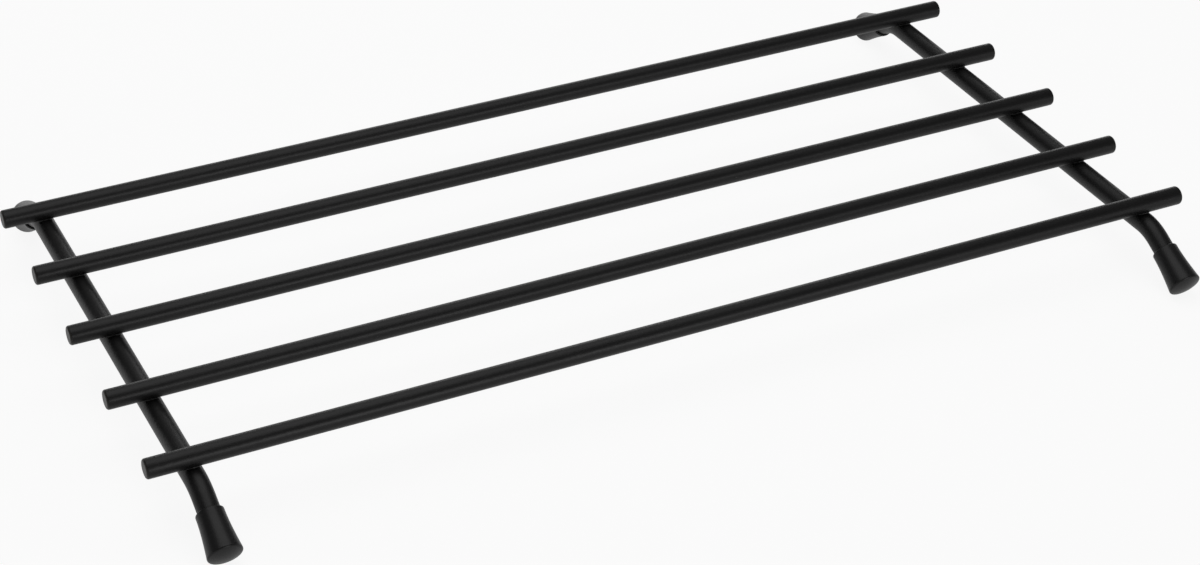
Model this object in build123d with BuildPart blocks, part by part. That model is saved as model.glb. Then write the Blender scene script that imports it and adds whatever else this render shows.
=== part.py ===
from build123d import *
import os
from math import cos, radians, sin, tan

# Steel trivet: round bars welded across two leg rods, whose ends bend down into four rubber feet.
# X runs along the bars, Y from front to back and Z up. Z = 0 is the table, with the origin on it
# under the middle of the deck. All sizes are in millimetres and degrees.

# Deck bars
bar_length = 460.0
bar_diameter = 8.0
bar_count = 5
bar_pitch = 49.0
bar_overhang = 18.0  # from a leg rod's axis to the end of the bars
bar_end_chamfer = 0.6

# Leg rods
rod_diameter = 9.0
leg_bend_lead = 2.0  # straight rod past the axis of the outermost bar
leg_bend_radius = 24.0  # on the rod's axis
leg_angle = 27.5  # slope of the leg below the level rod
leg_bare_length = 6.0  # straight leg between the bend and the mouth of its foot cap
leg_end_chamfer = 0.6

# Welds between bars and rods
weld_set_down = 0.8  # depth that a bar is pressed into a rod
weld_bead_diameter = 6.8  # steel squeezed out around the weld

# Rubber foot caps
foot_length = 18.9  # from the mouth to the base
foot_wall = 0.85  # at the mouth
foot_flare = 1.3  # how far the base stands out beyond the mouth
foot_side_hollow = 0.07  # how far the middle of the flared side lies inside a straight line
foot_floor = 4.5  # rubber under the end of the leg
foot_lip_chamfer = 0.4
foot_rim_chamfer = 0.9
foot_clearance = 0.05  # between leg and socket, on the radius

# Derived sizes and places
bar_radius = bar_diameter / 2
rod_radius = rod_diameter / 2
rod_x = bar_length / 2 - bar_overhang
bar_places = [(n - (bar_count - 1) / 2) * bar_pitch for n in range(bar_count)]

leg_slope = radians(leg_angle)
bend_tangent = leg_bend_radius * tan(leg_slope / 2)
bend_corner = bar_places[-1] + leg_bend_lead + bend_tangent  # where rod and leg axes would meet
mouth_distance = bend_tangent + leg_bare_length  # from that corner along the leg
socket_depth = foot_length - foot_floor
leg_reach = mouth_distance + socket_depth  # from the same corner to the end of the leg

socket_radius = rod_radius + foot_clearance
collar_radius = socket_radius + foot_wall
base_radius = collar_radius + foot_flare
rim_edges = [  # outer and inner edge of the rim: radius, and distance from the mouth
    (base_radius, foot_length - foot_rim_chamfer),
    (base_radius - foot_rim_chamfer, foot_length),
]

# A foot stands on the lowest point of its rim, which sets the height of everything else.
rim_drops = [
    (mouth_distance + along) * sin(leg_slope) + radius * cos(leg_slope) for radius, along in rim_edges
]
rod_height = max(rim_drops)
bar_height = rod_height + rod_radius + bar_radius - weld_set_down
weld_height = rod_height + rod_radius - weld_set_down / 2
leg_end_y = bend_corner + leg_reach * cos(leg_slope)
leg_end_height = rod_height - leg_reach * sin(leg_slope)

rod_places = {"left": -rod_x, "right": rod_x}
leg_directions = {
    "front": Vector(0, -cos(leg_slope), -sin(leg_slope)),
    "back": Vector(0, cos(leg_slope), -sin(leg_slope)),
}
bend_corners = {"front": -bend_corner, "back": bend_corner}

os.makedirs("parts", exist_ok=True)


def write_piece(piece, name):
    """Label a finished piece and write it under its own name."""
    piece.label = name
    export_step(piece, f"parts/{name}.step")


# Deck bars, numbered from the front: straight round stock with its end edges broken
bars = []
for number, bar_y in enumerate(bar_places, start=1):
    with BuildPart() as bar:
        with BuildSketch(Plane.YZ.offset(-bar_length / 2)):
            with Locations((bar_y, bar_height)):
                Circle(bar_radius)
        extrude(amount=bar_length)
        chamfer(bar.edges().filter_by(GeomType.CIRCLE), bar_end_chamfer)
    write_piece(bar.part, f"bar_{number}")
    bars.append(bar.part)


# Leg rods: round stock bent down at both ends, with a bead around each weld and a saddle where the bar
# lies in it
for side, place in rod_places.items():
    with BuildPart() as leg_rod:
        with BuildLine(Plane.YZ.offset(place)) as centre_line:
            FilletPolyline(
                (-leg_end_y, leg_end_height),
                (-bend_corner, rod_height),
                (bend_corner, rod_height),
                (leg_end_y, leg_end_height),
                radius=leg_bend_radius,
            )
        with BuildSketch(Plane(origin=centre_line.line @ 0, z_dir=centre_line.line % 0)):
            Circle(rod_radius)
        sweep()
        chamfer(leg_rod.faces().filter_by(GeomType.PLANE).edges(), leg_end_chamfer)
        with Locations(*[(place, bar_y, weld_height) for bar_y in bar_places]):
            Sphere(weld_bead_diameter / 2)
        add(bars, mode=Mode.SUBTRACT)
    write_piece(leg_rod.part, f"{side}_leg_rod")


# Foot caps: turned about the leg, with a broken lip at the mouth, a slightly hollow side that flares to
# the base, a broken rim and a blind socket whose floor the leg stands on
for end, leg_direction in leg_directions.items():
    for side, place in rod_places.items():
        mouth = Vector(place, bend_corners[end], rod_height) + leg_direction * mouth_distance
        across = Axis.X.direction
        with BuildPart() as foot:
            with BuildSketch(Plane(origin=mouth, x_dir=across, z_dir=across.cross(leg_direction))):
                with BuildLine():
                    lip = Line((collar_radius - foot_lip_chamfer, 0), (collar_radius, foot_lip_chamfer))
                    rim = Line(*rim_edges)
                    side_middle = (lip @ 1 + rim @ 0) * 0.5
                    Bezier(lip @ 1, side_middle - Vector(2 * foot_side_hollow, 0), rim @ 0)
                    Polyline(
                        rim @ 1,
                        (0, foot_length),
                        (0, socket_depth),
                        (socket_radius, socket_depth),
                        (socket_radius, 0),
                        lip @ 0,
                    )
                make_face()
            revolve(axis=Axis(mouth, leg_direction))
        write_piece(foot.part, f"{end}_{side}_foot")
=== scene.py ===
import math

import bpy
import numpy as np
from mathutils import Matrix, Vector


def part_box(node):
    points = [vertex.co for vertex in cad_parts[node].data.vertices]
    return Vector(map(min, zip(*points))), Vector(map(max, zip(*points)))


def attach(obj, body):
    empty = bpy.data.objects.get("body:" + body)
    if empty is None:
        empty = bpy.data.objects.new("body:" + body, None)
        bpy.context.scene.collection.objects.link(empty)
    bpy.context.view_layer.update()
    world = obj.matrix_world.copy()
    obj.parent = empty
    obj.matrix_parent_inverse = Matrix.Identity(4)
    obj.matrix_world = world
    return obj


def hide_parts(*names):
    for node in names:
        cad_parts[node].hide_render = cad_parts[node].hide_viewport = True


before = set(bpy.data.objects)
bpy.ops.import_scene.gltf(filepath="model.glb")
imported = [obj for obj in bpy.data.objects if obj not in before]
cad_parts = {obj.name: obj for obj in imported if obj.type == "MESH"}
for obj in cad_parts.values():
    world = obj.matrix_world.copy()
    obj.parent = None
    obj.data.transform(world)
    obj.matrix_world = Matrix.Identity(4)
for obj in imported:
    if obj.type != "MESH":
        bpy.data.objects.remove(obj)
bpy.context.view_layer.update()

bl_info = {
    "name": "Steel Trivet",
    "version": (1, 0, 0),
    "blender": (4, 5, 0),
    "location": "3D View > Sidebar > Trivet",
    "description": "Finished surfaces of a coated steel trivet on rubber feet, and its studio",
    "category": "Add Mesh",
}

BODY = "root"
BOX_TOLERANCE = 0.0006  # how far a piece's box may lie from that of the node it stands for

# Points in each ring of a surface
BAR_POINTS = 72
ROD_POINTS = 96
BEAD_POINTS = 20
FOOT_POINTS = 80
SWEEP_POINTS = 96

# Rings along each stretch of a surface
QUARTER_ROUND_RINGS = 9
BEAD_RINGS = 72
FOOT_BASE_RINGS = 12
FOOT_RIM_RINGS = 14
FOOT_SIDE_RINGS = 24
SOCKET_RINGS = 12
SWEEP_RINGS = 24
END_DISC_SHARES = (0.35, 0.7, 0.97)  # radii of the rings on a flat end, as shares of that of its edge
BAR_RING_SPACING = 0.004
ROD_RING_SPACING = 0.0006

# Sizes that hardly show
ROD_END_ROUND = 0.0006  # radius of the rounded edge at each end of a rod, inside its cap
SOCKET_ROOM = 0.00005  # room on the radius between a leg and its socket
MOUTH_FALL = 0.00002  # how far the face of a cap's mouth falls from the lip to the socket
LEAST_DISTANCE = 1e-9  # from a bar's axis, so that nothing is divided by zero

# Lumps of a weld bead: share of its radius, waves round it, and how its phase turns them
BEAD_LUMPS = ((0.16, 3, 1), (0.1, 7, -2))
BEAD_PHASE = 40  # radians for each metre of a bead's place

# Patterns of the finishes, in metres, and what they do
DRIFT_SIZE = 0.03  # slow changes of the coat's colour and gloss
BLOOM_SIZE = 0.006  # clouds of the rubber's bloom
PEEL_OVER_GRAIN = 6  # the coat's peel is so many times as wide as its grain
GRAIN_OVER_DEPTH = 12  # the rubber's grain is so many times as wide as deep
NOISE_ROUGHNESS = 0.5
PEEL_RELIEF = 0.7
GRAIN_RELIEF = 0.3
DRIFT_TINT = 1.3
BLOOM_TINT = 1.6
DRIFT_SWING = 0.08  # swings of roughness about its mean
GRAIN_SWING = 0.04
BLOOM_SWING = 0.12

# Sockets of a Mix node that mixes colours
MIX_SHARE = 0
MIX_FIRST = 6
MIX_SECOND = 7
MIX_RESULT = 2

# Studio
WHITE = (1, 1, 1, 1)
SWEEP_WHITE = (0.9, 0.9, 0.9, 1)
SWEEP_EYE = 0.05  # radius of the sweep's innermost ring
SWEEP_RISE = 1.25  # radians that the edge of the sweep curves up through
SENSOR_WIDTH = 36.0  # millimetres
FACING_DOWN = (0, 0, -0.35)
FACING_BACK = (math.pi / 2, 0, 0)
FACING_FRONT = (-math.pi / 2, 0, 0)

# Name, place, width and height, turn and brightness setting of each softbox
SOFTBOXES = (
    ("overhead", (-0.08, -0.01, 1.0), (1.05, 0.91), FACING_DOWN, "overhead_level"),
    ("beyond", (0.16, 0.65, 1.0), (1.05, 0.49), FACING_DOWN, "beyond_level"),
    ("front", (0.64, -3.0, 0.57), (1.36, 0.92), FACING_BACK, "front_level"),
    ("low_back", (0.93, 2.3, 0.37), (3.0, 0.7), FACING_FRONT, "back_level"),
    ("high_back", (1.0, 2.3, 1.22), (0.86, 1.0), FACING_FRONT, "back_level"),
)

bar_nodes = sorted(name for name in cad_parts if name.startswith("bar_"))
rod_nodes = sorted(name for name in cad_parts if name.endswith("_leg_rod"))
foot_nodes = sorted(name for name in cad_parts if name.endswith("_foot"))


def node_middle(node):
    """Middle of a node's box."""
    low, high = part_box(node)
    return np.array((low + high) / 2)


# Settings


class TrivetSizes(bpy.types.PropertyGroup):
    """Sizes of the steel and of the rubber feet."""

    bar_diameter: bpy.props.FloatProperty(
        name="Bar Diameter",
        description="Diameter of the deck bars",
        default=0.008,
        unit="LENGTH",
    )
    bar_end_round: bpy.props.FloatProperty(
        name="Bar End Round",
        description="Radius of the rounded edge at each end of a bar",
        default=0.001,
        unit="LENGTH",
    )
    rod_diameter: bpy.props.FloatProperty(
        name="Rod Diameter",
        description="Diameter of the leg rods",
        default=0.009,
        unit="LENGTH",
    )
    bend_lead: bpy.props.FloatProperty(
        name="Bend Lead",
        description="Straight rod past the axis of the outermost bar",
        default=0.002,
        unit="LENGTH",
    )
    bend_radius: bpy.props.FloatProperty(
        name="Bend Radius",
        description="Radius of the leg's bend, on the rod's axis",
        default=0.024,
        unit="LENGTH",
    )
    leg_angle: bpy.props.FloatProperty(
        name="Leg Angle",
        description="Slope of the leg below the level rod",
        default=math.radians(27.5),
        subtype="ANGLE",
    )
    leg_bare_length: bpy.props.FloatProperty(
        name="Bare Leg",
        description="Straight leg between the bend and the mouth of its foot cap",
        default=0.0057,
        unit="LENGTH",
    )
    weld_set_down: bpy.props.FloatProperty(
        name="Weld Set-Down",
        description="Depth that a bar is pressed into a rod",
        default=0.0008,
        unit="LENGTH",
    )
    bead_radius: bpy.props.FloatProperty(
        name="Bead Radius",
        description="Mean radius of the bead squeezed out around a weld",
        default=0.0006,
        unit="LENGTH",
    )
    foot_wall: bpy.props.FloatProperty(
        name="Foot Wall",
        description="Thickness of the rubber at the mouth, with the clearance of the socket",
        default=0.00106,
        unit="LENGTH",
    )
    foot_flare: bpy.props.FloatProperty(
        name="Foot Flare",
        description="How far the base stands out beyond the mouth",
        default=0.0014,
        unit="LENGTH",
    )
    flare_start: bpy.props.FloatProperty(
        name="Flare Start",
        description="How far below the mouth the line of the flare would meet that of the collar",
        default=0.0072,
        unit="LENGTH",
    )
    socket_depth: bpy.props.FloatProperty(
        name="Socket Depth",
        description="How far a leg reaches into its foot cap",
        default=0.0147,
        unit="LENGTH",
    )
    foot_lip_round: bpy.props.FloatProperty(
        name="Lip Round",
        description="Radius of the rounded lip at the mouth",
        default=0.0006,
        unit="LENGTH",
    )
    foot_rim_round: bpy.props.FloatProperty(
        name="Rim Round",
        description="Radius of the rounded rim of the base",
        default=0.0009,
        unit="LENGTH",
    )
    foot_bulge: bpy.props.FloatProperty(
        name="Base Bulge",
        description="Radius of the slightly domed base",
        default=0.018,
        unit="LENGTH",
    )


class TrivetFinish(bpy.types.PropertyGroup):
    """Colours and gloss of the powder coat and of the rubber."""

    coat_colour: bpy.props.FloatVectorProperty(
        name="Coat Colour",
        description="Colour of the black powder coat",
        default=(0.0042, 0.0041, 0.0042),
        subtype="COLOR",
    )
    # Painted reflection: this paler, warm colour on the bar ends stands in for the warm floor light that
    # they mirror.
    end_reflection_colour: bpy.props.FloatVectorProperty(
        name="End Colour",
        description="Colour of the thinner coat on the cut ends of the bars",
        default=(0.017, 0.0145, 0.0125),
        subtype="COLOR",
    )
    coat_roughness: bpy.props.FloatProperty(
        name="Coat Roughness",
        description="Mean roughness of the satin coat",
        default=0.4,
        subtype="FACTOR",
    )
    coat_specular: bpy.props.FloatProperty(
        name="Coat Specular",
        description="Strength of the coat's reflections",
        default=0.22,
        subtype="FACTOR",
    )
    peel_size: bpy.props.FloatProperty(
        name="Peel Size",
        description="Size of the coat's orange-peel ripples",
        default=0.0016,
        unit="LENGTH",
    )
    peel_depth: bpy.props.FloatProperty(
        name="Peel Depth",
        description="Depth of the coat's orange-peel ripples",
        default=0.00008,
        unit="LENGTH",
    )
    rubber_colour: bpy.props.FloatVectorProperty(
        name="Rubber Colour",
        description="Colour of the black rubber",
        default=(0.0052, 0.0051, 0.0053),
        subtype="COLOR",
    )
    rubber_roughness: bpy.props.FloatProperty(
        name="Rubber Roughness",
        description="Mean roughness of the moulded rubber",
        default=0.36,
        subtype="FACTOR",
    )
    rubber_specular: bpy.props.FloatProperty(
        name="Rubber Specular",
        description="Strength of the rubber's reflections",
        default=0.22,
        subtype="FACTOR",
    )
    rubber_grain: bpy.props.FloatProperty(
        name="Rubber Grain",
        description="Size of the rubber's moulded grain",
        default=0.0004,
        unit="LENGTH",
    )


class TrivetStage(bpy.types.PropertyGroup):
    """Camera, sweep and light of the studio."""

    camera_place: bpy.props.FloatVectorProperty(
        name="Camera Place",
        description="Where the camera stands",
        default=(-0.42677, -0.89018, 0.61638),
        subtype="TRANSLATION",
    )
    camera_turn: bpy.props.FloatProperty(
        name="Camera Turn",
        description="Compass turn of the view from the trivet's depth towards its length",
        default=math.radians(25.747),
        subtype="ANGLE",
    )
    camera_dip: bpy.props.FloatProperty(
        name="Camera Dip",
        description="How far the camera looks down",
        default=math.radians(32.413),
        subtype="ANGLE",
    )
    camera_roll: bpy.props.FloatProperty(
        name="Camera Roll",
        description="Turn of the picture about the line of sight",
        default=math.radians(-0.147),
        subtype="ANGLE",
    )
    camera_lens: bpy.props.FloatProperty(
        name="Camera Lens",
        description="Focal length on a 36 mm wide sensor",
        default=81.12,
        unit="CAMERA",
    )
    floor_radius: bpy.props.FloatProperty(
        name="Floor Radius",
        description="Radius of the level floor",
        default=3.6,
        unit="LENGTH",
    )
    sweep_radius: bpy.props.FloatProperty(
        name="Sweep Radius",
        description="Radius of the curve from the floor up into the backdrop",
        default=1.4,
        unit="LENGTH",
    )
    floor_glow: bpy.props.FloatProperty(
        name="Floor Glow",
        description="Share of plain white in what the camera sees of the floor; the rest shows shadows",
        default=0.9,
        subtype="FACTOR",
    )
    mirrored_glow: bpy.props.FloatProperty(
        name="Mirrored Glow",
        description="Share of plain white in what glossy surfaces mirror of the floor",
        default=0.6,
        subtype="FACTOR",
    )
    room_level: bpy.props.FloatProperty(
        name="Room Level",
        description="Brightness of the light from all round",
        default=0.2,
    )
    overhead_level: bpy.props.FloatProperty(
        name="Overhead Level",
        description="Brightness of the wide softbox overhead",
        default=1.6,
    )
    beyond_level: bpy.props.FloatProperty(
        name="Beyond Level",
        description="Brightness of the softbox overhead and farther back",
        default=0.8,
    )
    front_level: bpy.props.FloatProperty(
        name="Front Level",
        description="Brightness of the low softbox in front",
        default=5.8,
    )
    back_level: bpy.props.FloatProperty(
        name="Back Level",
        description="Brightness of the softboxes behind",
        default=1.35,
    )


class TrivetPlan:
    """Places and sizes worked out from the settings and the frame, in metres."""

    def __init__(self, sizes):
        self.bar_radius = sizes.bar_diameter / 2
        self.rod_radius = sizes.rod_diameter / 2
        self.bar_places = [node_middle(node)[1] for node in bar_nodes]
        self.bar_height = node_middle(bar_nodes[0])[2]
        self.rod_height = self.bar_height - self.bar_radius - self.rod_radius + sizes.weld_set_down
        self.bend_start = max(self.bar_places) + sizes.bend_lead
        self.slope = sizes.leg_angle
        bend_tangent = sizes.bend_radius * math.tan(self.slope / 2)
        self.bend_corner = self.bend_start + bend_tangent  # where rod and leg axes would meet
        self.mouth_distance = bend_tangent + sizes.leg_bare_length
        bend_length = sizes.bend_radius * self.slope
        self.half_rod = self.bend_start + bend_length + sizes.leg_bare_length + sizes.socket_depth
        self.collar_radius = self.rod_radius + sizes.foot_wall
        self.base_radius = self.collar_radius + sizes.foot_flare
        self.rim_across = self.base_radius - sizes.foot_rim_round
        rim_drop = self.rod_height - sizes.foot_rim_round - self.rim_across * math.cos(self.slope)
        self.rim_along = rim_drop / math.sin(self.slope) - self.mouth_distance  # so that the rim stands


# Surfaces


def ring_turns(steps):
    """Angles of the points of a ring, a full turn with no repeated point."""
    return np.linspace(0, 2 * math.pi, steps, endpoint=False)


def tube_rings(centres, ups, sides, radii, steps):
    """Rings about a line of centres: centre + radius (cos a up + sin a side), for a full turn of a.

    Up, side and the way from ring to ring are a right-handed set, so that the faces point outwards.
    """
    turns = ring_turns(steps)[:, None]
    circles = np.cos(turns) * ups[:, None, :] + np.sin(turns) * sides[:, None, :]
    return centres[:, None, :] + np.reshape(radii, (-1, 1, 1)) * circles


def stock_profile(length, radius, edge_round, spacing):
    """Distances and radii of the rings of round stock whose end edges are rounded.

    An end is a flat disc and then a quarter round: for a from 0 to 90 degrees the radius is
    radius - edge_round (1 - sin a), at edge_round (1 - cos a) from the end. The far end mirrors it.
    """
    turns = np.linspace(0, math.pi / 2, QUARTER_ROUND_RINGS)
    disc = (radius - edge_round) * np.array(END_DISC_SHARES)
    end_radii = np.concatenate([disc, radius - edge_round * (1 - np.sin(turns))])
    end_along = np.concatenate([np.zeros(len(disc)), edge_round * (1 - np.cos(turns))])
    body = np.linspace(edge_round, length - edge_round, round(length / spacing))[1:-1]
    along = np.concatenate([end_along, body, length - end_along[::-1]])
    radii = np.concatenate([end_radii, np.full(len(body), radius), end_radii[::-1]])
    return along, radii


def bar_surface(low, high, place, plan, sizes):
    """A deck bar from low to high in X: the profile of round stock carried along a straight line."""
    along, radii = stock_profile(high - low, plan.bar_radius, sizes.bar_end_round, BAR_RING_SPACING)
    centres = np.stack(
        [low + along, np.full(len(along), place), np.full(len(along), plan.bar_height)], axis=1
    )
    ups = np.broadcast_to([0.0, 0.0, 1.0], centres.shape)
    sides = np.broadcast_to([0.0, -1.0, 0.0], centres.shape)
    return tube_rings(centres, ups, sides, radii, BAR_POINTS), centres[[0, -1]]


def rod_line(along, place, plan, sizes):
    """Axis of a leg rod and its upward normal, at distances along it from its middle.

    It is level up to the bend, turns down through an arc of the bend radius, and ends in a straight
    leg: y = level + radius sin a + leg cos a and z = height - radius (1 - cos a) - leg sin a.
    """
    reach = np.abs(along)
    end = np.sign(along)
    turn = np.clip((reach - plan.bend_start) / sizes.bend_radius, 0, plan.slope)
    level = np.minimum(reach, plan.bend_start)
    leg = np.maximum(reach - plan.bend_start - sizes.bend_radius * plan.slope, 0)
    y = end * (level + sizes.bend_radius * np.sin(turn) + leg * np.cos(turn))
    z = plan.rod_height - sizes.bend_radius * (1 - np.cos(turn)) - leg * np.sin(turn)
    centres = np.stack([np.full(len(along), place), y, z], axis=1)
    ups = np.stack([np.zeros(len(along)), end * np.sin(turn), np.cos(turn)], axis=1)
    return centres, ups


def rod_surface(place, plan, sizes):
    """A leg rod: the profile of round stock carried along the bent axis, with saddles for the bars."""
    length = 2 * plan.half_rod
    along, radii = stock_profile(length, plan.rod_radius, ROD_END_ROUND, ROD_RING_SPACING)
    centres, ups = rod_line(along - plan.half_rod, place, plan, sizes)
    sides = np.broadcast_to([1.0, 0.0, 0.0], centres.shape)
    rings = tube_rings(centres, ups, sides, radii, ROD_POINTS)
    return press_saddles(rings, plan), centres[[0, -1]]


def press_saddles(points, plan):
    """Move what lies inside a bar straight out from the bar's axis to its surface."""
    for place in plan.bar_places:
        axis = np.array([place, plan.bar_height])
        offset = points[..., 1:] - axis
        distance = np.linalg.norm(offset, axis=-1, keepdims=True)
        seat = axis + offset * plan.bar_radius / np.maximum(distance, LEAST_DISTANCE)
        points[..., 1:] = np.where(distance < plan.bar_radius, seat, points[..., 1:])
    return points


def bead_surface(place, bar_place, phase, plan, sizes):
    """A weld bead: an uneven ring along the line where a bar enters a rod.

    On that line the rod's top is as high as the bar's underside. With x = half width cos a, the height
    above the rod's axis is sqrt(rod radius^2 - x^2), and y is the bar's half chord at that height. The
    bead's radius is the mean one times 1 + the sum of share sin(waves a + shift phase) over the lumps.
    """
    lift = plan.bar_height - plan.rod_height
    half_width = math.sqrt(plan.rod_radius**2 - (lift - plan.bar_radius) ** 2)
    turns = ring_turns(BEAD_RINGS)
    x = half_width * np.cos(turns)
    height = np.sqrt(plan.rod_radius**2 - x**2)
    chord = np.sqrt(np.maximum(plan.bar_radius**2 - (lift - height) ** 2, 0))
    y = np.sign(np.sin(turns)) * chord
    centres = np.stack([place + x, bar_place + y, plan.rod_height + height], axis=1)
    outward = np.stack([np.cos(turns), np.sin(turns), np.zeros(len(turns))], axis=1)
    upward = np.broadcast_to([0.0, 0.0, 1.0], centres.shape)
    lumps = sum(share * np.sin(waves * turns + shift * phase) for share, waves, shift in BEAD_LUMPS)
    return tube_rings(centres, upward, outward, sizes.bead_radius * (1 + lumps), BEAD_POINTS), None


def arc(centre, radius, start, end, steps):
    """Points (across, along) on an arc: centre + radius (sin a, cos a), with a from start to end."""
    turns = np.linspace(start, end, steps)
    return np.stack([centre[0] + radius * np.sin(turns), centre[1] + radius * np.cos(turns)], axis=1)


def foot_profile(plan, sizes):
    """Half section of a foot cap as points (across, along), from its base round to its socket floor.

    The base is an arc of the bulge radius that meets the rim's arc at a common tangent, and the lip a
    quarter round. The side is a quadratic curve (1 - u)^2 p + 2 u (1 - u) q + u^2 r from rim to lip,
    with q where the lines of flare and collar would meet, so that it leaves the lip along the leg.
    """
    rim = (plan.rim_across, plan.rim_along)
    meeting = math.asin(rim[0] / (sizes.foot_bulge - sizes.foot_rim_round))
    dome = (0.0, rim[1] - (sizes.foot_bulge - sizes.foot_rim_round) * math.cos(meeting))
    lip = (plan.collar_radius - sizes.foot_lip_round, sizes.foot_lip_round)
    flare_slope = math.atan(sizes.foot_flare / (rim[1] - sizes.flare_start))
    quarter = math.pi / 2
    base = arc(dome, sizes.foot_bulge, 0, meeting, FOOT_BASE_RINGS)[1:]
    rim_arc = arc(rim, sizes.foot_rim_round, meeting, quarter + flare_slope, FOOT_RIM_RINGS)[1:]
    lip_arc = arc(lip, sizes.foot_lip_round, quarter, 2 * quarter, QUARTER_ROUND_RINGS)
    meet = np.array([plan.collar_radius, sizes.flare_start])
    u = np.linspace(0, 1, FOOT_SIDE_RINGS)[1:-1, None]
    side = (1 - u) ** 2 * rim_arc[-1] + 2 * u * (1 - u) * meet + u**2 * lip_arc[0]
    socket_radius = plan.rod_radius + SOCKET_ROOM
    depths = np.linspace(MOUTH_FALL, sizes.socket_depth, SOCKET_RINGS)
    wall = np.stack([np.full(len(depths), socket_radius), depths], axis=1)
    floor = [(socket_radius / 2, sizes.socket_depth)]
    return np.concatenate([base, rim_arc, side, lip_arc, wall, floor])


def foot_surface(place, end, plan, sizes):
    """A foot cap: its half section turned about the leg. End is -1 at the front and 1 at the back."""
    leg = np.array([0.0, end * math.cos(plan.slope), -math.sin(plan.slope)])
    corner = np.array([place, end * plan.bend_corner, plan.rod_height])
    mouth = corner + plan.mouth_distance * leg
    profile = foot_profile(plan, sizes)
    centres = mouth + profile[:, 1:] * leg
    ups = np.broadcast_to([1.0, 0.0, 0.0], centres.shape)
    sides = np.broadcast_to(np.cross(-leg, [1.0, 0.0, 0.0]), centres.shape)
    bulge_tip = mouth + leg * (profile[0, 1] + profile[0, 0] ** 2 / (2 * sizes.foot_bulge))
    poles = np.stack([bulge_tip, mouth + sizes.socket_depth * leg])
    return tube_rings(centres, ups, sides, profile[:, 0], FOOT_POINTS), poles


def shell_faces(rings, poles, start):
    """Quads between neighbouring rings, and fans that close the ends about the poles.

    Without poles the last ring joins the first, as on a torus. A lone pole closes the first ring.
    """
    count, steps = rings.shape[:2]
    index = start + np.arange(count * steps).reshape(count, steps)
    here, beyond = (index, np.roll(index, -1, axis=0)) if poles is None else (index[:-1], index[1:])
    corners = [here, np.roll(here, -1, axis=1), np.roll(beyond, -1, axis=1), beyond]
    faces = np.stack(corners, axis=-1).reshape(-1, 4).tolist()
    if poles is not None:
        first_pole = np.full(steps, start + count * steps)
        faces += np.stack([first_pole, np.roll(index[0], -1), index[0]], axis=-1).tolist()
    if poles is not None and len(poles) == 2:
        faces += np.stack([first_pole + 1, index[-1], np.roll(index[-1], -1)], axis=-1).tolist()
    return faces


def add_piece(name, shells, material):
    """Make one smooth mesh object from (rings, poles) shells, with its place in its mesh."""
    points = []
    faces = []
    start = 0
    for rings, poles in shells:
        faces += shell_faces(rings, poles, start)
        shell = rings.reshape(-1, 3) if poles is None else np.vstack([rings.reshape(-1, 3), poles])
        points.append(shell)
        start += len(shell)
    mesh = bpy.data.meshes.new(name)
    mesh.from_pydata(np.concatenate(points).tolist(), [], faces)
    mesh.shade_smooth()
    mesh.materials.append(material)
    piece = bpy.data.objects.new(name, mesh)
    bpy.context.scene.collection.objects.link(piece)
    return piece


def stand_for(piece, node):
    """Let a piece stand for a node, after a test that it lies where the node does."""
    corners = np.array([corner[:] for corner in piece.bound_box])
    gaps = np.abs(np.stack([corners.min(axis=0), corners.max(axis=0)]) - np.array(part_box(node)))
    if gaps.max() > BOX_TOLERANCE:
        raise RuntimeError(f"{piece.name} lies {gaps.max() * 1000:.2f} mm off the box of {node}")
    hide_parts(node)


# Finishes


class Term:
    """A socket of a node tree. Arithmetic on terms adds the Math nodes that work it out."""

    def __init__(self, tree, socket):
        self.tree = tree
        self.socket = socket

    def math(self, operation, first, second):
        return add_node(self.tree, "ShaderNodeMath", {"operation": operation}, {0: first, 1: second})

    def __add__(self, other):
        return self.math("ADD", self, other)

    def __radd__(self, other):
        return self.math("ADD", other, self)

    def __mul__(self, other):
        return self.math("MULTIPLY", self, other)

    def __rmul__(self, other):
        return self.math("MULTIPLY", other, self)


def add_node(tree, kind, settings, sockets, output=0):
    """Add a node, set its settings, give its sockets values or links, and return one of its outputs."""
    node = tree.nodes.new(kind)
    for name, value in settings.items():
        setattr(node, name, value)
    for key, value in sockets.items():
        set_socket(tree, node.inputs[key], value)
    return Term(tree, node.outputs[output])


def set_socket(tree, socket, value):
    """Link a term to a socket, or set a plain value on it."""
    if isinstance(value, Term):
        tree.links.new(value.socket, socket)
    else:
        socket.default_value = value


def object_place(tree):
    """Place on the piece, in metres from its origin."""
    return add_node(tree, "ShaderNodeTexCoord", {}, {}, "Object")


def noise(tree, place, size, detail):
    """Soft noise from 0 to 1, with ripples of about the given size in metres."""
    sockets = {"Vector": place, "Scale": 1 / size, "Detail": detail, "Roughness": NOISE_ROUGHNESS}
    return add_node(tree, "ShaderNodeTexNoise", {}, sockets, "Fac")


def blend(tree, share, first, second):
    """A colour that goes from the first to the second as the share goes from 0 to 1."""
    sockets = {MIX_SHARE: share, MIX_FIRST: first, MIX_SECOND: second}
    return add_node(tree, "ShaderNodeMix", {"data_type": "RGBA"}, sockets, MIX_RESULT)


def tint(tree, share, colour, factor):
    """A colour, and where the share rises towards 1, the same colour times a factor."""
    brighter = [channel * factor for channel in colour]
    return blend(tree, share, (*colour, 1), (*brighter, 1))


def new_finish(name):
    """A material with its node tree and its surface shader."""
    material = bpy.data.materials.new(name)
    material.use_nodes = True
    return material, material.node_tree, material.node_tree.nodes["Principled BSDF"]


def end_reflection_share(tree, place, sizes):
    """Share that rises from 0 to 1 over the rounded edge at either end of the bars, where the painted
    reflection is laid.
    """
    half_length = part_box(bar_nodes[0])[1].x
    x = add_node(tree, "ShaderNodeSeparateXYZ", {}, {0: place}, "X")
    reach = add_node(tree, "ShaderNodeMath", {"operation": "ABSOLUTE"}, {0: x})
    sockets = {"Value": reach, "From Min": half_length - sizes.bar_end_round, "From Max": half_length}
    return add_node(tree, "ShaderNodeMapRange", {}, sockets, "Result")


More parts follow.
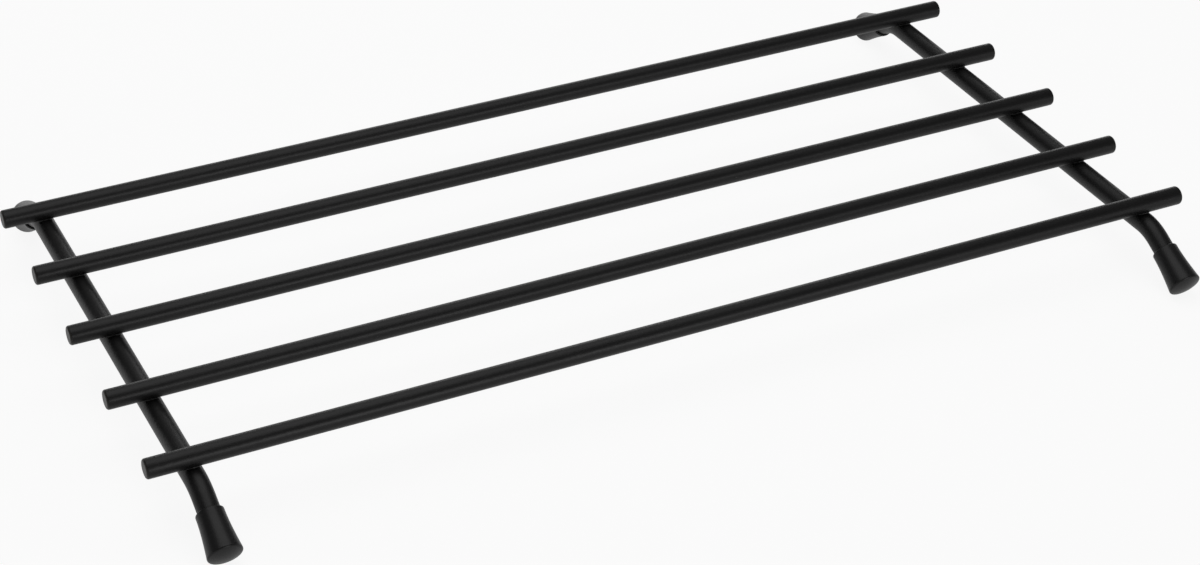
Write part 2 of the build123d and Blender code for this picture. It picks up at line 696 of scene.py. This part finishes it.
def coat_finish(finish, sizes):
    """Satin black powder coat: orange-peel ripples, fine grain, slow changes of gloss, and ends painted
    paler and warmer as a painted reflection of the floor light.
    """
    material, tree, shader = new_finish("black_powder_coat")
    place = object_place(tree)
    peel = noise(tree, place, finish.peel_size, detail=1.0)
    grain = noise(tree, place, finish.peel_size / PEEL_OVER_GRAIN, detail=2.0)
    drift = noise(tree, place, DRIFT_SIZE, detail=2.0)
    height = PEEL_RELIEF * peel + GRAIN_RELIEF * grain
    relief = {"Strength": 1.0, "Distance": finish.peel_depth, "Height": height}
    set_socket(tree, shader.inputs["Normal"], add_node(tree, "ShaderNodeBump", {}, relief))
    mottled = tint(tree, drift, finish.coat_colour, DRIFT_TINT)
    # Painted reflection: the ends of the bars are blended to a paler, warm colour in place of the floor
    # light they mirror.
    colour = blend(tree, end_reflection_share(tree, place, sizes), mottled, (*finish.end_reflection_colour, 1))
    set_socket(tree, shader.inputs["Base Color"], colour)
    least_roughness = finish.coat_roughness - (DRIFT_SWING + GRAIN_SWING) / 2
    roughness = least_roughness + DRIFT_SWING * drift + GRAIN_SWING * grain
    set_socket(tree, shader.inputs["Roughness"], roughness)
    shader.inputs["Specular IOR Level"].default_value = finish.coat_specular
    return material


def rubber_finish(finish):
    """Moulded black rubber: a fine matt grain with a faint cloudy bloom."""
    material, tree, shader = new_finish("black_rubber")
    place = object_place(tree)
    grain = noise(tree, place, finish.rubber_grain, detail=3.0)
    bloom = noise(tree, place, BLOOM_SIZE, detail=3.0)
    relief = {"Strength": 1.0, "Distance": finish.rubber_grain / GRAIN_OVER_DEPTH, "Height": grain}
    set_socket(tree, shader.inputs["Normal"], add_node(tree, "ShaderNodeBump", {}, relief))
    set_socket(tree, shader.inputs["Base Color"], tint(tree, bloom, finish.rubber_colour, BLOOM_TINT))
    roughness = finish.rubber_roughness - BLOOM_SWING / 2 + BLOOM_SWING * bloom
    set_socket(tree, shader.inputs["Roughness"], roughness)
    shader.inputs["Specular IOR Level"].default_value = finish.rubber_specular
    return material


def sweep_finish(stage):
    """White sweep: diffuse for the light that it sends on, and mostly plain white where it is seen."""
    material, tree, shader = new_finish("white_sweep")
    shader.inputs["Base Color"].default_value = SWEEP_WHITE
    shader.inputs["Roughness"].default_value = 1.0
    shader.inputs["Specular IOR Level"].default_value = 0.0
    camera, mirror, glass = [
        add_node(tree, "ShaderNodeLightPath", {}, {}, f"Is {way} Ray")
        for way in ("Camera", "Glossy", "Transmission")
    ]
    seen = (camera + glass) * stage.floor_glow + mirror * stage.mirrored_glow
    glow = add_node(tree, "ShaderNodeEmission", {}, {"Color": WHITE, "Strength": 1.0})
    surface = Term(tree, shader.outputs["BSDF"])
    mixed = add_node(tree, "ShaderNodeMixShader", {}, {0: seen, 1: surface, 2: glow})
    set_socket(tree, tree.nodes["Material Output"].inputs["Surface"], mixed)
    return material


def studio_world(stage):
    """Faint even light from all round."""
    world = bpy.data.worlds.new("studio_room")
    world.use_nodes = True
    background = world.node_tree.nodes["Background"]
    background.inputs["Color"].default_value = WHITE
    background.inputs["Strength"].default_value = stage.room_level
    bpy.context.scene.world = world


# Operators


class TRIVET_OT_deck_bars(bpy.types.Operator):
    """Add the coated deck bars"""

    bl_idname = "trivet.deck_bars"
    bl_label = "Deck Bars"

    def execute(self, context):
        sizes = context.scene.trivet_sizes
        plan = TrivetPlan(sizes)
        coat = coat_finish(context.scene.trivet_finish, sizes)
        for node, place in zip(bar_nodes, plan.bar_places):
            low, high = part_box(node)
            piece = add_piece(f"coated_{node}", [bar_surface(low.x, high.x, place, plan, sizes)], coat)
            stand_for(piece, node)
            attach(piece, BODY)
        return {"FINISHED"}


class TRIVET_OT_leg_rods(bpy.types.Operator):
    """Add the coated leg rods and the weld beads that join the bars to them"""

    bl_idname = "trivet.leg_rods"
    bl_label = "Leg Rods"

    def execute(self, context):
        sizes = context.scene.trivet_sizes
        plan = TrivetPlan(sizes)
        coat = bpy.data.materials["black_powder_coat"]
        for node in rod_nodes:
            place = node_middle(node)[0]
            beads = [
                bead_surface(place, bar_place, BEAD_PHASE * (place + bar_place), plan, sizes)
                for bar_place in plan.bar_places
            ]
            piece = add_piece(f"coated_{node}", [rod_surface(place, plan, sizes), *beads], coat)
            stand_for(piece, node)
            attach(piece, BODY)
        return {"FINISHED"}


class TRIVET_OT_foot_caps(bpy.types.Operator):
    """Add the rubber foot caps"""

    bl_idname = "trivet.foot_caps"
    bl_label = "Foot Caps"

    def execute(self, context):
        sizes = context.scene.trivet_sizes
        plan = TrivetPlan(sizes)
        rubber = rubber_finish(context.scene.trivet_finish)
        for node in foot_nodes:
            middle = node_middle(node)
            surface = foot_surface(middle[0], np.sign(middle[1]), plan, sizes)
            piece = add_piece(f"rubber_{node}", [surface], rubber)
            stand_for(piece, node)
            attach(piece, BODY)
        return {"FINISHED"}


class TRIVET_OT_studio(bpy.types.Operator):
    """Set the camera, the white sweep and the light"""

    bl_idname = "trivet.studio"
    bl_label = "Studio"

    def execute(self, context):
        stage = context.scene.trivet_stage
        context.scene.view_settings.view_transform = "Standard"
        self.place_camera(context.scene, stage)
        self.lay_sweep(stage)
        studio_world(stage)
        self.hang_softboxes(context.scene, stage)
        return {"FINISHED"}

    def place_camera(self, scene, stage):
        """Camera axes from turn, dip and roll: it looks along (sin t cos d, cos t cos d, -sin d)."""
        turn, dip, roll = stage.camera_turn, stage.camera_dip, stage.camera_roll
        forward = np.array(
            [math.sin(turn) * math.cos(dip), math.cos(turn) * math.cos(dip), -math.sin(dip)]
        )
        level = np.cross(forward, [0, 0, 1])
        level /= np.linalg.norm(level)
        upright = np.cross(level, forward)
        right = math.cos(roll) * level - math.sin(roll) * upright
        above = math.sin(roll) * level + math.cos(roll) * upright
        data = bpy.data.cameras.new("photo_camera")
        data.sensor_fit = "HORIZONTAL"
        data.sensor_width = SENSOR_WIDTH
        data.lens = stage.camera_lens
        camera = bpy.data.objects.new("photo_camera", data)
        columns = np.eye(4)
        columns[:3, :3] = np.stack([right, above, -forward], axis=1)
        columns[:3, 3] = stage.camera_place
        camera.matrix_world = columns.T
        scene.collection.objects.link(camera)
        scene.camera = camera

    def lay_sweep(self, stage):
        """A level disc whose edge curves up: radius = disc + curve sin a, height = curve (1 - cos a)."""
        turns = np.linspace(0, SWEEP_RISE, SWEEP_RINGS)
        disc = np.geomspace(SWEEP_EYE, stage.floor_radius, SWEEP_RINGS)[:-1]
        radii = np.concatenate([disc, stage.floor_radius + stage.sweep_radius * np.sin(turns)])
        heights = np.concatenate([np.zeros(len(disc)), stage.sweep_radius * (1 - np.cos(turns))])
        centres = np.stack([np.zeros(len(radii)), np.zeros(len(radii)), heights], axis=1)
        ups = np.broadcast_to([1.0, 0.0, 0.0], centres.shape)
        sides = np.broadcast_to([0.0, -1.0, 0.0], centres.shape)
        rings = tube_rings(centres, ups, sides, radii, SWEEP_POINTS)
        sweep = add_piece("white_sweep", [(rings, np.zeros((1, 3)))], sweep_finish(stage))

    def hang_softboxes(self, scene, stage):
        """A wide lamp overhead with a dimmer one beyond it, a low lamp in front and two behind."""
        for name, place, size, turn, level in SOFTBOXES:
            self.hang(scene, name, place, size, turn, getattr(stage, level))

    def hang(self, scene, name, place, size, turn, level):
        """A rectangular lamp. Its power is pi times its brightness times its area."""
        lamp = bpy.data.lights.new(name, "AREA")
        lamp.shape = "RECTANGLE"
        lamp.size, lamp.size_y = size
        lamp.energy = math.pi * level * lamp.size * lamp.size_y
        softbox = bpy.data.objects.new(name, lamp)
        softbox.location = place
        softbox.rotation_euler = turn
        softbox.visible_camera = False
        scene.collection.objects.link(softbox)


class VIEW3D_PT_trivet(bpy.types.Panel):
    """Builds the trivet and lists its settings"""

    bl_label = "Steel Trivet"
    bl_space_type = "VIEW_3D"
    bl_region_type = "UI"
    bl_category = "Trivet"

    def draw(self, context):
        for operator in operators:
            self.layout.operator(operator.bl_idname)
        for group in groups:
            settings = getattr(context.scene, group)
            box = self.layout.box()
            for name in settings.__annotations__:
                box.prop(settings, name)


operators = (TRIVET_OT_deck_bars, TRIVET_OT_leg_rods, TRIVET_OT_foot_caps, TRIVET_OT_studio)
groups = {"trivet_sizes": TrivetSizes, "trivet_finish": TrivetFinish, "trivet_stage": TrivetStage}


def register():
    for name, group in groups.items():
        bpy.utils.register_class(group)
        setattr(bpy.types.Scene, name, bpy.props.PointerProperty(type=group))
    for kind in (*operators, VIEW3D_PT_trivet):
        bpy.utils.register_class(kind)


def unregister():
    for kind in reversed((*operators, VIEW3D_PT_trivet)):
        bpy.utils.unregister_class(kind)
    for name, group in reversed(groups.items()):
        delattr(bpy.types.Scene, name)
        bpy.utils.unregister_class(group)


def main():
    register()
    bpy.ops.trivet.studio()
    bpy.ops.trivet.deck_bars()
    bpy.ops.trivet.leg_rods()
    bpy.ops.trivet.foot_caps()


if __name__ == "__main__":
    main()
